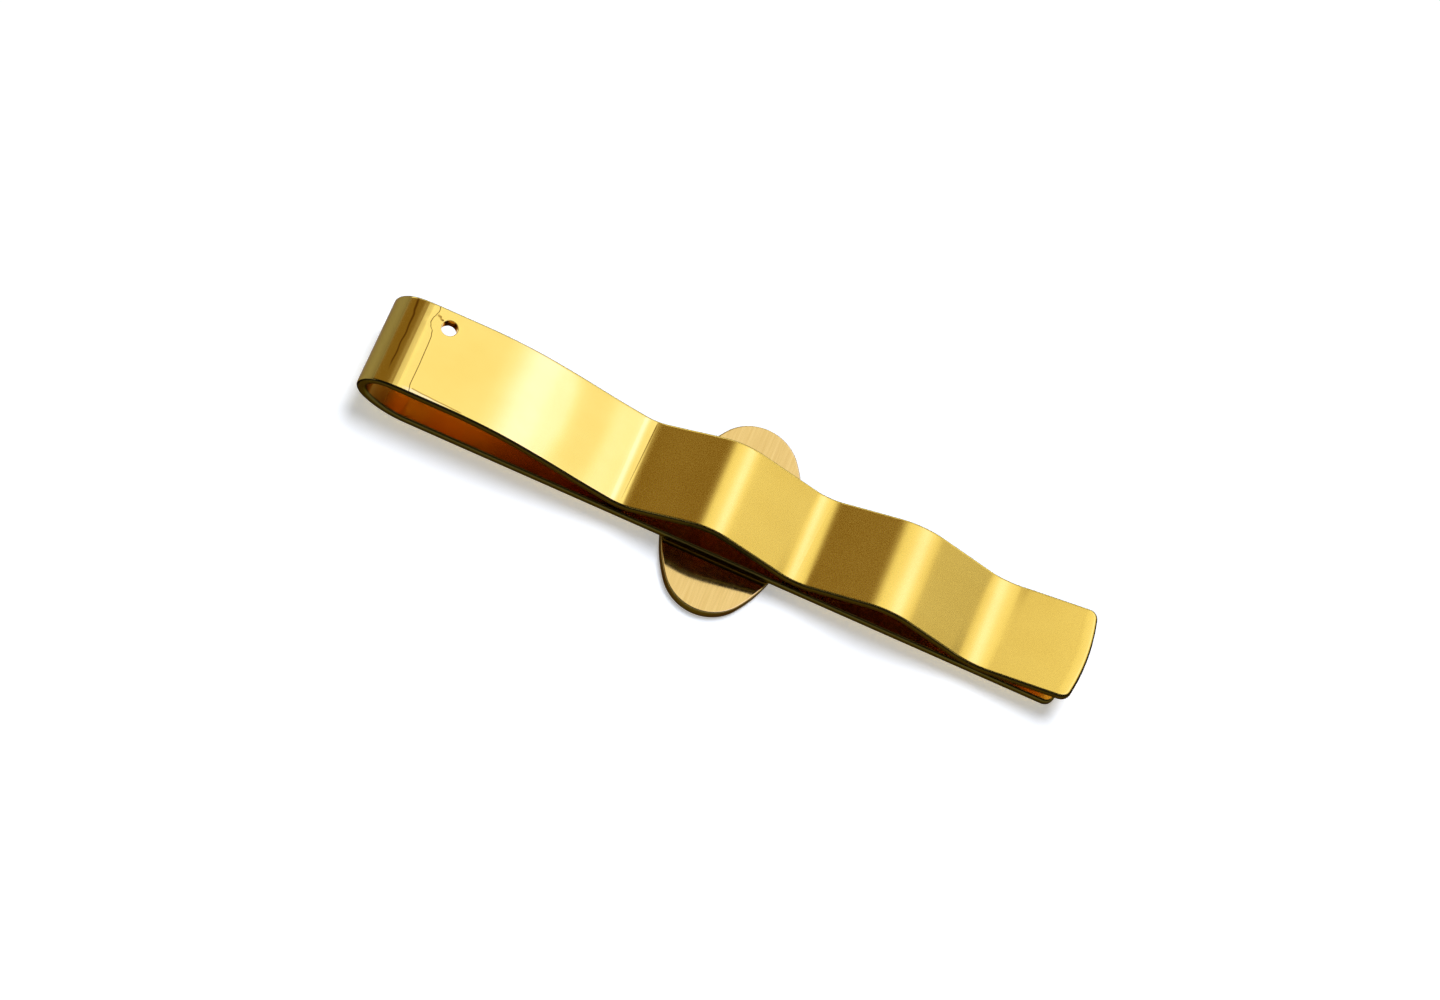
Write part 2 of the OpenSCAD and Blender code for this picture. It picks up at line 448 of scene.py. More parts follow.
def endOutline(y):  # how far an end's inset outline stops short, and the angle that it faces
    edge, corner, bow = strip["edge"], strip["endCorner"], strip["endArc"]
    if abs(y) <= (bow - edge) * math.sin(cornerStart()) * (1 + 1e-9):  # a hair over, for rounding
        angle = math.asin(y / (bow - edge))
        return bow - (bow - edge) * math.cos(angle), angle
    angle = math.asin(min((abs(y) - halfWidth + corner) / (corner - edge), 1))
    short = bow - (bow - corner) * math.cos(cornerStart())
    return short - (corner - edge) * math.cos(angle), math.copysign(angle, y)


def alongPlaces(begin, stop, fine):  # places along the strip, closer in bends and fine zones
    marks = {begin, stop} | {stretch["start"] for stretch in stretches}
    for low, high, step in fine:
        marks |= {low, high}
    marks = sorted(m for m in marks if begin <= m <= stop)
    places = [begin]
    for a, b in zip(marks, marks[1:]):
        middle = (a + b) / 2
        curve = [stretch["curve"] for stretch in stretches if stretch["start"] <= middle][-1]
        step = strip["rowStep"]
        if curve:
            step = min(step, math.radians(strip["turnStep"]) / abs(curve))
        for low, high, fineStep in fine:
            if low <= middle <= high:
                step = min(step, fineStep)
        count = math.ceil((b - a) / step)
        places += [a + (b - a) * i / count for i in range(1, count + 1)]
    return places


def alongBendLine(s, y):  # moves the rows beside the bend line so that they run along it
    away = s - fromFold(bendLine["middle"])
    shift = lineAt(bendLine["points"], y) - bendLine["middle"]
    return s + shift * (1 - smooth(abs(away), *bendLine["rows"]))


def flatGrid(begin, stop, fine):  # places of one face of a piece on the flat strip, row by row
    bowed = strip["endRows"]
    grid = []
    for s in alongPlaces(begin, stop, fine):
        row = []
        for y in acrossPlaces():
            short, angle = endOutline(y)
            place = alongBendLine(s, y)
            if begin == 0 and s < bowed:
                place = short + (bowed - short) * s / bowed
            if stop == stripLength and s > stripLength - bowed:
                place = stripLength - bowed + (bowed - short) * (s - stripLength + bowed) / bowed
            row.append((place, y))
        grid.append(row)
    return grid


def quarterTurns(steps, first=0):
    return [math.pi / 2 * k / steps for k in range(first, steps + 1)]


def bridgeRings(bm, rings, closed=False):  # rows of faces from each line of corners to the next
    for a, b in zip(rings, rings[1:]):
        for k in range(len(a) if closed else len(a) - 1):
            n = (k + 1) % len(a)
            bm.faces.new((a[k], a[n], b[n], b[k]))


def closeRings(bm, rings):  # a solid from a stack of rings, with a flat face at each end
    bridgeRings(bm, rings, True)
    bm.faces.new(rings[0])
    bm.faces.new(rings[-1])


tipRelief = {  # the tongue's end is tumbled down a little
    "reach": 0.75 * mm,
    "depth": 0.06 * mm,
}


def tipReliefAt(s, y):
    inner = halfWidth - strip["endCorner"]
    away = stripLength - endOutline(min(max(y, -inner), inner))[0] - s
    return tipRelief["depth"] * max(1 - away / tipRelief["reach"], 0) ** 2


finish = {  # where each of the strip's finishes, painted shades and painted highlight shows; a pair is where it starts and is full
    "marks": ("shearedAndShaded", "edgeShade", "satin", "inside", "shaded", "dulledAndShaded", "creaseShade", "edgeHighlight"),
    "satinFrom": (0.1 * mm, 0.5 * mm),  # past the first valley's middle
    "dulledShadeFrom": (29, 34),  # degrees of bend, as the fold is duller past its crown and painted with shade there
    "dulledShadeTo": (120, 150),
    "dulledShadeInside": (150, 172),  # the same end on the inner face
    "shadedFrom": (9.5 * mm, 13 * mm),  # the inner face gets deeper painted shade under the waves
    "shadedTo": (43 * mm, 52 * mm),
    "cutFrom": 0.55,  # share of the edge's rounding at which the cut metal, darkened with painted shade, starts to show
    "cutTo": 0.85,
    "cutInside": 0.3,  # and by which it shows fully on the inner face's edge
    "edgeShadeFrom": (30, 45),  # degrees round the outer edge where a black line of painted shade runs
    "edgeShadeTo": (65, 88),
}


class StripMesh:  # one piece of the strip, as a closed mesh
    def __init__(self, begin, stop, fine):
        self.begin, self.stop = begin, stop
        self.places = alongPlaces(begin, stop, fine)
        self.flat = flatGrid(begin, stop, fine)
        self.rows, self.columns = len(self.flat), len(self.flat[0])
        self.bm = bmesh.new()
        layers = self.bm.verts.layers.float
        self.marks = {name: layers.new(name) for name in finish["marks"]}
        self.faces = {}

    def vertex(self, s, y, h, shearedAndShaded=0.0, edgeShade=0.0):
        x, z, turn = stretchAt(s)
        turn = math.degrees(turn)
        pastValley = s - waveMiddles[0]
        dulledShadeTo = finish["dulledShadeTo"] if h > 0 else finish["dulledShadeInside"]
        shares = {  # how far each finish, painted shade and painted highlight shows here
            "shearedAndShaded": shearedAndShaded,
            "edgeShade": edgeShade,
            "satin": smooth(pastValley, *finish["satinFrom"]),
            "inside": smooth(-h, 0, halfThick / 2),
            "shaded": between(x, finish["shadedFrom"], finish["shadedTo"]),
            "dulledAndShaded": between(turn, finish["dulledShadeFrom"], dulledShadeTo),
            "creaseShade": creaseShadeShare(s, y) if h > 0 else 0,
            "edgeHighlight": edgeHighlightShare(s, y) if h > 0 else 0,
        }
        if h > 0:
            relief = outerRelief(s, y)
            if s > stripLength - strip["endRows"]:
                relief -= tipReliefAt(s, y)
            h += relief * smooth(h, 0, halfThick)
        elif hole["patch"] > abs(s - fromFold(hole["x"])):
            h -= hole["burr"] * nearHole(s, y, hole["burrReach"]) * smooth(-h, 0, halfThick)
        v = self.bm.verts.new(onStrip(s, y, h))
        for name, share in shares.items():
            v[self.marks[name]] = share
        return v

    def addFaces(self, block):  # both faces, apart from the block that the hole's rings take
        def inBlock(i, j, edges):
            low, high, left, right = block
            return low + edges <= i < high and left + edges <= j < right

        for side in (1, -1):
            grid = {}
            for i in range(self.rows):
                for j in range(self.columns):
                    if not (block and inBlock(i, j, 1)):
                        grid[i, j] = self.vertex(*self.flat[i][j], side * halfThick)
            for i in range(self.rows - 1):
                for j in range(self.columns - 1):
                    if not (block and inBlock(i, j, 0)):
                        corners = ((i, j), (i + 1, j), (i + 1, j + 1), (i, j + 1))
                        self.bm.faces.new([grid[corner] for corner in corners])
            self.faces[side] = grid

    def chains(self):  # the parts of the outline that have a rounded edge, as rows and columns
        end, last = self.rows - 1, self.columns - 1
        near = [(i, 0) for i in range(self.rows)]
        far = [(i, last) for i in range(self.rows)]
        if self.stop == stripLength:
            return [near + [(end, j) for j in range(1, last)] + far[::-1]]
        if self.begin == 0:
            return [far[::-1] + [(0, j) for j in range(last - 1, 0, -1)] + near]
        return [near, far]

    def outward(self, j, y):  # the way out of the strip from its outline, along and across
        if j in (0, self.columns - 1):
            return 0, (1 if j else -1)
        angle = endOutline(y)[1]
        along = -math.cos(angle) if self.begin == 0 else math.cos(angle)
        return along, math.sin(angle)

    def edgeShares(self, out, h):  # how far cut metal and the black line show on the rounded edge, both darkened with painted shade
        share = out / strip["edge"]
        if h < 0 or self.begin == 0:
            return smooth(share, 0, finish["cutInside"]), 0
        around = math.degrees(math.asin(min(share, 1)))
        edgeShade = between(around, finish["edgeShadeFrom"], finish["edgeShadeTo"])
        return smooth(share, finish["cutFrom"], finish["cutTo"]), edgeShade

    def addEdges(self):
        edge, last = strip["edge"], self.columns - 1
        turns = quarterTurns(strip["edgeSteps"], 1)
        profile = [(edge * math.sin(a), halfThick - edge * (1 - math.cos(a))) for a in turns]
        profile += [(out, -h) for out, h in reversed(profile)]
        cuts = {}
        for chain in self.chains():
            rings = [[self.faces[1][p] for p in chain]]
            for out, h in profile:
                shares = self.edgeShares(out, h)
                ring = []
                for i, j in chain:
                    s, y = self.flat[i][j]
                    along, across = self.outward(j, y)
                    ring.append(self.vertex(s + along * out, y + across * out, h, *shares))
                rings.append(ring)
            rings.append([self.faces[-1][p] for p in chain])
            bridgeRings(self.bm, rings)
            for k, (i, j) in enumerate(chain):
                if (i == 0 and self.begin > 0) or (i == self.rows - 1 and self.stop < stripLength):
                    cuts.setdefault(i, {})[j] = [ring[k] for ring in rings]
        for i, sides in cuts.items():  # closes the piece where the next one takes over
            outline = [self.faces[1][i, j] for j in range(last + 1)] + sides[last][1:-1]
            outline += [self.faces[-1][i, j] for j in range(last, -1, -1)] + sides[0][-2:0:-1]
            self.bm.faces.new(outline)

    def holeBlock(self):  # first and last row and column of the square round the hole
        s = fromFold(hole["x"])
        rows = [i for i in range(self.rows) if abs(self.places[i] - s) < hole["patch"]]
        cols = [j for j in range(self.columns) if abs(self.flat[0][j][1] - hole["y"]) < hole["patch"]]
        return rows[0], rows[-1], cols[0], cols[-1]

    def addHole(self, block):
        low, high, left, right = block
        outline = [(low, j) for j in range(left, right)] + [(i, right) for i in range(low, high)]
        outline += [(high, j) for j in range(right, left, -1)]
        outline += [(i, left) for i in range(high, low, -1)]
        centre = (fromFold(hole["x"]), hole["y"])
        starts = [self.flat[i][j] for i, j in outline]
        angles = [math.atan2(y - centre[1], s - centre[0]) for s, y in starts]

        def circle(reach):
            return [(centre[0] + reach * math.cos(a), centre[1] + reach * math.sin(a)) for a in angles]

        rim = hole["rim"]
        walls = []
        for side in (1, -1):
            rings = [[self.faces[side][p] for p in outline]]
            target = circle(hole["radius"] + rim)
            for k in range(1, hole["rings"] + 1):
                share = 1 - (1 - k / hole["rings"]) ** hole["crowding"]
                ring = []
                for (s, y), (t, u) in zip(starts, target):
                    ring.append(self.vertex(s + (t - s) * share, y + (u - y) * share, side * halfThick))
                rings.append(ring)
            for turn in quarterTurns(hole["rimSteps"], 1):
                h = halfThick - rim * (1 - math.cos(turn))
                places = circle(hole["radius"] + rim * (1 - math.sin(turn)))
                rings.append([self.vertex(s, y, side * h) for s, y in places])
            bridgeRings(self.bm, rings, True)
            walls.append(rings[-1])
        bridgeRings(self.bm, walls, True)


crispFrom = math.radians(50)  # a ridge that turns by this much or more isn't shaded smooth


def finishMesh(bm, name):
    bmesh.ops.recalc_face_normals(bm, faces=bm.faces)
    for face in bm.faces:
        face.smooth = True
    for line in bm.edges:
        line.smooth = line.calc_face_angle(0) < crispFrom
    mesh = bpy.data.meshes.new(name)
    bm.to_mesh(mesh)
    bm.free()
    return addObject(name, mesh)


def stripPiece(name, begin, stop, fine=(), withHole=False):
    made = StripMesh(begin, stop, fine)
    block = made.holeBlock() if withHole else None
    made.addFaces(block)
    made.addEdges()
    if block:
        made.addHole(block)
    return finishMesh(made.bm, name)


# The strip is divided on its level runs, so that the fold can flex between the bar and the leg.
seams = {
    "bar": barLength - bending["heel"] - 0.5 * mm,  # a little before the heel
    "leg": fromFold(2.55 * mm),  # a little past the crown
}
fineZones = {  # from and to, with the step from one row to the next
    "crown": (crownPlace - 0.3 * mm, crownPlace + 0.2 * mm, 0.02 * mm),
    "besideBend": (fromFold(2.9 * mm), fromFold(4.1 * mm), 0.06 * mm),
    "bendLine": (fromFold(3.38 * mm), fromFold(3.62 * mm), 0.02 * mm),
    "hole": (fromFold(4.1 * mm), fromFold(5.6 * mm), 0.12 * mm),
    "press": (waveMiddles[0] - 0.3 * mm, waveMiddles[0] + 0.3 * mm, 0.04 * mm),
    "secondPress": (waveMiddles[2] - 0.4 * mm, waveMiddles[2] + 0.5 * mm, 0.06 * mm),
    "tip": (stripLength - 1.0 * mm, stripLength, 0.08 * mm),
}
barStrip = stripPiece("bar_strip", 0, seams["bar"])
foldStrip = stripPiece("fold_strip", seams["bar"], seams["leg"], [fineZones["crown"]])
legFine = [zone for name, zone in fineZones.items() if name != "crown"]
legStrip = stripPiece("leg_strip", seams["leg"], stripLength, legFine, True)
print("strip pieces made:", [len(piece.data.polygons) for piece in (barStrip, foldStrip, legStrip)])

# The oval plate, front face down, with an outline of four arcs.
plate = {
    "length": 10 * mm,
    "width": 16 * mm,
    "thick": 1.2 * mm,
    "endShare": 0.72,  # the tight ends' radius, as a share of half the length
    "frontEdge": 0.3 * mm,
    "backEdge": 0.12 * mm,
    "edgeSteps": 6,
    "arcSteps": 44,
    "rimRings": (0.3 * mm, 0.02 * mm),  # how far inside its edges each face has a ring
    "innerRings": (0.25, 0.5, 0.75),  # and rings further in, as shares of the outline's size
    "shift": 0.9 * mm,  # past the middle of the bar, towards the mouth
}


def plateOutline():  # places round the outline, each with the direction that it faces
    halfLong, halfWide = plate["length"] / 2, plate["width"] / 2
    tight = halfLong * plate["endShare"]
    tightY = halfWide - tight
    easy = (halfLong**2 + tightY**2 - tight**2) / (2 * (halfLong - tight))
    easyTurn = math.atan2(tightY, easy - halfLong)
    arcs = []
    for side in (0, math.pi):
        arcs.append((easy, halfLong - easy, 0, side - easyTurn, side + easyTurn, side))
        arcs.append((tight, 0, tightY, side + easyTurn, side + math.pi - easyTurn, side))
    outline = []
    for radius, x, y, start, stop, side in arcs:
        cx = x * math.cos(side) - y * math.sin(side)
        cy = x * math.sin(side) + y * math.cos(side)
        for k in range(plate["arcSteps"]):
            a = start + (stop - start) * k / plate["arcSteps"]
            faces = (math.cos(a), math.sin(a))
            outline.append(((cx + radius * faces[0], cy + radius * faces[1]), faces))
    return outline


def makePlate():
    outline = plateOutline()
    middle = plate["shift"] + barLength / 2 - legLength / 2
    bm = bmesh.new()
    shearedAndShaded = bm.verts.layers.float.new("shearedAndShaded")

    def ring(inset, z, cutAndShade=0.0, shrink=1.0):
        made = []
        for (x, y), (ax, ay) in outline:
            v = bm.verts.new((middle + (x - ax * inset) * shrink, (y - ay * inset) * shrink, z))
            v[shearedAndShaded] = cutAndShade
            made.append(v)
        return made

    def rounding(radius, face, way):  # inset, height and share of cut metal with painted shade, from a face to its edge
        steps = []
        for a in quarterTurns(plate["edgeSteps"]):
            inset = radius * (1 - math.sin(a))
            cutAndShade = smooth(1 - inset / radius, finish["cutFrom"], finish["cutTo"])
            steps.append((inset, face + way * radius * (1 - math.cos(a)), cutAndShade))
        return steps

    back, front, thick = plate["backEdge"], plate["frontEdge"], plate["thick"]
    rings = [ring(back, thick, 0, share) for share in plate["innerRings"]]
    rings += [ring(back + inside, thick) for inside in plate["rimRings"]]
    rings += [ring(*step) for step in rounding(back, thick, -1)]
    rings += [ring(*step) for step in reversed(rounding(front, 0, 1))]
    rings += [ring(front + inside, 0) for inside in reversed(plate["rimRings"])]
    rings += [ring(front, 0, 0, share) for share in reversed(plate["innerRings"])]
    closeRings(bm, rings)
    return finishMesh(bm, "plate_disc")


plateDisc = makePlate()
print("plate made")

# The solder between the plate and the bar, with an edge that crept a little.
solder = {
    "seed": 7,
    "creep": 0.09 * mm,
    "waves": (5, 9, 14),  # how many times each wave of the crept edge goes round
    "steps": 120,
    "corner": 1.16,  # how far its corners reach, as a share of its sides' reach
    "belly": 0.03 * mm,  # how far its edge is hollowed halfway up
}


def makeSolder():
    rng = random.Random(solder["seed"])
    low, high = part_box("solder_film")
    centre, half = (low + high) / 2, (high - low) / 2
    shifts = [rng.uniform(0, math.tau) for wave in solder["waves"]]
    bm = bmesh.new()

    def ring(inset, z):
        made = []
        for k in range(solder["steps"]):
            a = math.tau * k / solder["steps"]
            square = min(1 / max(abs(math.cos(a)), abs(math.sin(a))), solder["corner"])
            waves = [math.sin(w * a + shift) for w, shift in zip(solder["waves"], shifts)]
            crept = sum(waves) / len(waves)
            reach = 1 - (inset + solder["creep"] * (1 + crept) / 2) / half.y
            x = centre.x + half.x * math.cos(a) * square * reach
            y = centre.y + half.y * math.sin(a) * square * reach
            made.append(bm.verts.new((x, y, z)))
        return made

    closeRings(bm, [ring(0, low.z), ring(solder["belly"], (low.z + high.z) / 2), ring(0, high.z)])
    return finishMesh(bm, "solder_bead")


solderBead = makeSolder()
print("solder made")


# Helpers for the finishes. A grain is the features to the millimetre on each axis, and the detail.
noiseSpan = (0.3, 0.7)  # nearly all of a noise's values lie between these


def feed(tree, socket, value):  # links a node's output to a socket, or sets a plain value there
    if isinstance(value, bpy.types.NodeSocket):
        tree.links.new(value, socket)
    else:
        socket.default_value = value


def addNode(tree, kind, inputs=(), **settings):
    made = tree.nodes.new(kind)
    for name, value in settings.items():
        setattr(made, name, value)
    for name, value in dict(inputs).items():
        feed(tree, made.inputs[name], value)
    return made


def newFinish(name):
    material = bpy.data.materials.new(name)
    material.use_nodes = True
    tree = material.node_tree
    return material, tree, tree.nodes["Principled BSDF"]


def newMetal(name):
    material, tree, shader = newFinish(name)
    shader.inputs["Metallic"].default_value = 1.0
    return material, tree, shader


def markOf(tree, name):  # a finish's share at each corner of the mesh
    return addNode(tree, "ShaderNodeAttribute", attribute_name=name).outputs["Fac"]


def grain(tree, look):
    place = addNode(tree, "ShaderNodeTexCoord").outputs["Object"]
    scale = [features / mm for features in look[:3]]
    scaled = addNode(tree, "ShaderNodeMapping", {"Vector": place, "Scale": scale}).outputs["Vector"]
    noise = addNode(tree, "ShaderNodeTexNoise", {"Vector": scaled, "Scale": 1.0, "Detail": look[3]})
    return noise.outputs["Fac"]


def mapped(tree, value, low, high, span=noiseSpan):
    inputs = {"Value": value, "From Min": span[0], "From Max": span[1], "To Min": low, "To Max": high}
    return addNode(tree, "ShaderNodeMapRange", inputs).outputs["Result"]


def mixed(tree, share, a, b):
    made = addNode(tree, "ShaderNodeMix", data_type="RGBA")
    for index, value in ((0, share), (6, a), (7, b)):  # the node's sockets for colours
        feed(tree, made.inputs[index], value)
    return made.outputs[2]


def layered(tree, mark, under, layers):  # lays colours over one another, where their marks show
    for name, over in layers.items():
        under = mixed(tree, mark[name], under, over)
    return under


def combined(tree, operation, a, b):
    made = addNode(tree, "ShaderNodeMath", operation=operation)
    for socket, value in zip(made.inputs, (a, b)):
        feed(tree, socket, value)
    return made.outputs[0]


def bumped(tree, height, depth, under=None):
    inputs = {"Height": height, "Strength": 1.0, "Distance": depth}
    if under:
        inputs["Normal"] = under
    return addNode(tree, "ShaderNodeBump", inputs).outputs["Normal"]


# The strip's gold plating: polished by the fold, pressed satin along the wave, duller on cut edges, with
# painted shade and a painted highlight laid over it.
stripGold = {
    "gold": (0.955, 0.725, 0.195, 1),
    "deepGold": (0.93, 0.69, 0.17, 1),
    "satinGold": (0.95, 0.69, 0.14, 1),
    "deepSatin": (0.91, 0.65, 0.125, 1),
    "insideShadeGold": (0.73, 0.455, 0.105, 1),  # painted shade on the whole inner face, in the gap between the bar and the leg
    # deeper painted shade on the inner face under the waves
    "shadedGold": (0.53, 0.29, 0.06, 1),
    # darkest painted shade inside the fold's bend
    "foldInsideShade": (0.32, 0.17, 0.026, 1),
    "foldShadeGold": (0.29, 0.205, 0.045, 1),  # painted shade on the fold's outer face, standing in for a dark reflection
    # painted shade along the crease lines
    "creaseShadeGold": (0.36, 0.17, 0.013, 1),
    # painted pale highlight beside the near edge
    "edgeHighlightGold": (0.96, 0.8, 0.43, 1),
    # cut metal, darkened with painted shade
    "cutEdgeShade": (0.07, 0.053, 0.012, 1),
    # black line of painted shade on the outer edges
    "edgeShadeBlack": (0.012, 0.008, 0.003, 1),
    "glancing": (1, 0.95, 0.82, 1),
    # edge tints that carry the same painted shade as the fold, the inner face and the cut edges
    "glancingFoldShade": (0.5, 0.43, 0.45, 1),
    "glancingInsideShade": (0.7, 0.5, 0.25, 1),
    "glancingCutShade": (0.3, 0.24, 0.1, 1),
    "cloudGrain": (0.25, 0.35, 0.25, 4.0),  # clouds of the deeper gold
    "polished": 0.13,
    "satin": 0.26,
    "dulledRough": 0.3,
    "cutRough": 0.36,
    "speck": (-0.015, 0.03),  # how far specks change the roughness
    "speckGrain": (9, 6, 9, 3.0),
    "lineDepth": 0.0006 * mm,
    "lineGrain": (14, 0.7, 14, 2.0),
    "pressDepth": 0.00022 * mm,
    "pressGrain": (9, 7, 9, 3.0),
    "dentDepth": 0.004 * mm,
    "dentGrain": (0.3, 0.22, 0.3, 1.0),
}


def goldStripFinish():
    material, tree, shader = newMetal("gold_strip_plating")
    look = stripGold
    mark = {name: markOf(tree, name) for name in finish["marks"]}
    cloud = mapped(tree, grain(tree, look["cloudGrain"]), 0.0, 1.0)
    polished = mixed(tree, cloud, look["gold"], look["deepGold"])
    satin = mixed(tree, cloud, look["satinGold"], look["deepSatin"])
    outside = layered(tree, mark, polished, {
        "satin": satin,
        "dulledAndShaded": look["foldShadeGold"],
        "edgeHighlight": look["edgeHighlightGold"],
        "creaseShade": look["creaseShadeGold"],
    })
    # the inner face is painted with shade, deepest under the waves and inside the fold's bend
    inside = layered(tree, mark, look["insideShadeGold"], {
        "shaded": look["shadedGold"],
        "dulledAndShaded": look["foldInsideShade"],
    })
    colour = layered(tree, mark, outside, {
        "inside": inside,
        "shearedAndShaded": look["cutEdgeShade"],
        "edgeShade": look["edgeShadeBlack"],
    })
    feed(tree, shader.inputs["Base Color"], colour)
    # the edge tint carries the same painted shade as the colour
    glancing = layered(tree, mark, look["glancing"], {
        "dulledAndShaded": look["glancingFoldShade"],
        "inside": look["glancingInsideShade"],
        "shearedAndShaded": look["glancingCutShade"],
    })
    feed(tree, shader.inputs["Specular Tint"], glancing)
    rough = mapped(tree, mark["satin"], look["polished"], look["satin"], (0.0, 1.0))
    rough = combined(tree, "ADD", rough, mapped(tree, grain(tree, look["speckGrain"]), *look["speck"]))
    for name, level in (("dulledAndShaded", "dulledRough"), ("shearedAndShaded", "cutRough")):
        dull = combined(tree, "MULTIPLY", mark[name], look[level])
        rough = combined(tree, "MAXIMUM", rough, dull)
    feed(tree, shader.inputs["Roughness"], rough)
    dents = bumped(tree, grain(tree, look["dentGrain"]), look["dentDepth"])
    lines = bumped(tree, grain(tree, look["lineGrain"]), look["lineDepth"], dents)
    press = combined(tree, "MULTIPLY", grain(tree, look["pressGrain"]), mark["satin"])
    feed(tree, shader.inputs["Normal"], bumped(tree, press, look["pressDepth"], lines))
    return material


# The plate's gold plating, brushed across the bar, with painted shade on its cut edge.
plateGold = {
    "gold": (0.73, 0.5, 0.165, 1),
    "paleGold": (0.83, 0.595, 0.22, 1),
    # cut metal, darkened with painted shade
    "cutEdgeShade": (0.11, 0.08, 0.022, 1),
    "glancing": (1, 0.96, 0.86, 1),
    "glancingCutShade": (0.3, 0.24, 0.1, 1),
    "paleGrain": (7, 0.22, 2, 3.0),  # streaks of the paler gold
    "rough": 0.08,
    "cutRough": 0.36,
    "speck": (-0.03, 0.04),
    "speckGrain": (16, 0.5, 4, 3.0),
    "brushDepth": 0.0035 * mm,
    "brushGrain": (18, 0.35, 5, 3.0),
    "streakDepth": 0.002 * mm,
    "streakGrain": (5, 0.12, 3, 2.0),
}


def goldPlateFinish():
    material, tree, shader = newMetal("gold_plate_plating")
    look = plateGold
    cutAndShade = markOf(tree, "shearedAndShaded")
    pale = mapped(tree, grain(tree, look["paleGrain"]), 0.0, 1.0)
    colour = mixed(tree, pale, look["gold"], look["paleGold"])
    feed(tree, shader.inputs["Base Color"], mixed(tree, cutAndShade, colour, look["cutEdgeShade"]))
    glancing = mixed(tree, cutAndShade, look["glancing"], look["glancingCutShade"])
    feed(tree, shader.inputs["Specular Tint"], glancing)
    speck = mapped(tree, grain(tree, look["speckGrain"]), *look["speck"])
    rough = combined(tree, "ADD", speck, look["rough"])
    dull = combined(tree, "MULTIPLY", cutAndShade, look["cutRough"])
    feed(tree, shader.inputs["Roughness"], combined(tree, "MAXIMUM", rough, dull))
    brush = bumped(tree, grain(tree, look["brushGrain"]), look["brushDepth"])
    streaks = bumped(tree, grain(tree, look["streakGrain"]), look["streakDepth"], brush)
    feed(tree, shader.inputs["Normal"], streaks)
    return material


solderLook = {
    "grey": (0.52, 0.49, 0.4, 1),
    "darkGrey": (0.36, 0.33, 0.27, 1),
    "cloudGrain": (1.5, 1.5, 1.5, 4.0),
    "rough": 0.42,
    "poreDepth": 0.008 * mm,
    "poreGrain": (6, 6, 6, 3.0),
}


def solderFinish():
    material, tree, shader = newMetal("dull_solder")
    cloud = mapped(tree, grain(tree, solderLook["cloudGrain"]), 0.0, 1.0)
    colour = mixed(tree, cloud, solderLook["grey"], solderLook["darkGrey"])
    feed(tree, shader.inputs["Base Color"], colour)
    shader.inputs["Roughness"].default_value = solderLook["rough"]
    pores = bumped(tree, grain(tree, solderLook["poreGrain"]), solderLook["poreDepth"])
    feed(tree, shader.inputs["Normal"], pores)
    return material


stripFinish = goldStripFinish()
for piece in (barStrip, foldStrip, legStrip):
    piece.data.materials.append(stripFinish)
plateDisc.data.materials.append(goldPlateFinish())
solderBead.data.materials.append(solderFinish())
print("finishes made")

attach(barStrip, "bar")
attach(legStrip, "leg")
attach(plateDisc, "bar")
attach(solderBead, "bar")
barTop = barFront + strip["thick"]
legUnder = barTop + bending["foldGap"]
foldX = -legLength / 2
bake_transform(foldStrip, "bar", "leg", start=(foldX, 0, barTop), end=(foldX, 0, legUnder))
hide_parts("front_bar")
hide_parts("back_leg")
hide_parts("oval_plate")
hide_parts("solder_film")
print("pieces ride on their bodies")

# The studio: a pale floor under a soft overhead light, and a row of soft panels for the metal.
studio = {
    "floorRadius": 2.4,
    "floorSides": 96,
    "floorDrop": 0.02 * mm,
    "floorColour": (0.84, 0.87, 0.94, 1),
    "floorRough": 0.9,
    "floorGlow": 0.33,
    "glowColour": (0.96, 0.98, 1.0, 1),
    "room": (0.015, 0.013, 0.011, 1),
    "backdrop": (1, 1, 1, 1),
    "horizon": (0.31, 0.41),  # the backdrop gives way to the room between these heights of view
    "panelHeight": 0.35,
    "panelNear": -0.06,
    "panelFar": 0.62,
    "panels": (  # from and to, along the clip, with the brightness of red, green and blue
        (-0.9, -0.135, (0.205, 0.125, 0.024)),
        (-0.135, -0.126, (0.31, 0.22, 0.09)),
        (-0.126, -0.117, (0.4, 0.32, 0.19)),
        (-0.117, -0.108, (0.51, 0.44, 0.33)),
        (-0.108, -0.099, (0.63, 0.57, 0.48)),
        (-0.099, -0.09, (0.76, 0.72, 0.66)),
        (-0.09, -0.08, (0.9, 0.88, 0.84)),
        (-0.08, -0.055, (1.22, 1.2, 1.21)),
        (-0.055, 0.04, (1.06, 1.06, 1.09)),
        (0.04, 0.065, (1.15, 1.15, 1.35)),
        (0.065, 0.085, (1.2, 1.25, 1.85)),
        (0.085, 0.105, (1.3, 1.36, 2.4)),
        (0.105, 0.19, (1.4, 1.46, 2.95)),
        (0.19, 0.206, (1.3, 1.28, 1.75)),
        (0.206, 0.222, (1.2, 1.2, 1.35)),
        (0.222, 0.33, (1.03, 1.03, 1.03)),
        (0.33, 0.43, (1.0, 0.95, 0.9)),
        (0.43, 0.62, (0.43, 0.4, 0.4)),
    ),
}


def addLamp(name, kind, place, power, colour=(1, 1, 1)):
    data = bpy.data.lights.new(name, kind)
    data.energy = power
    data.color = colour
    lamp = addObject(name, data)
    lamp.location = place
    return lamp


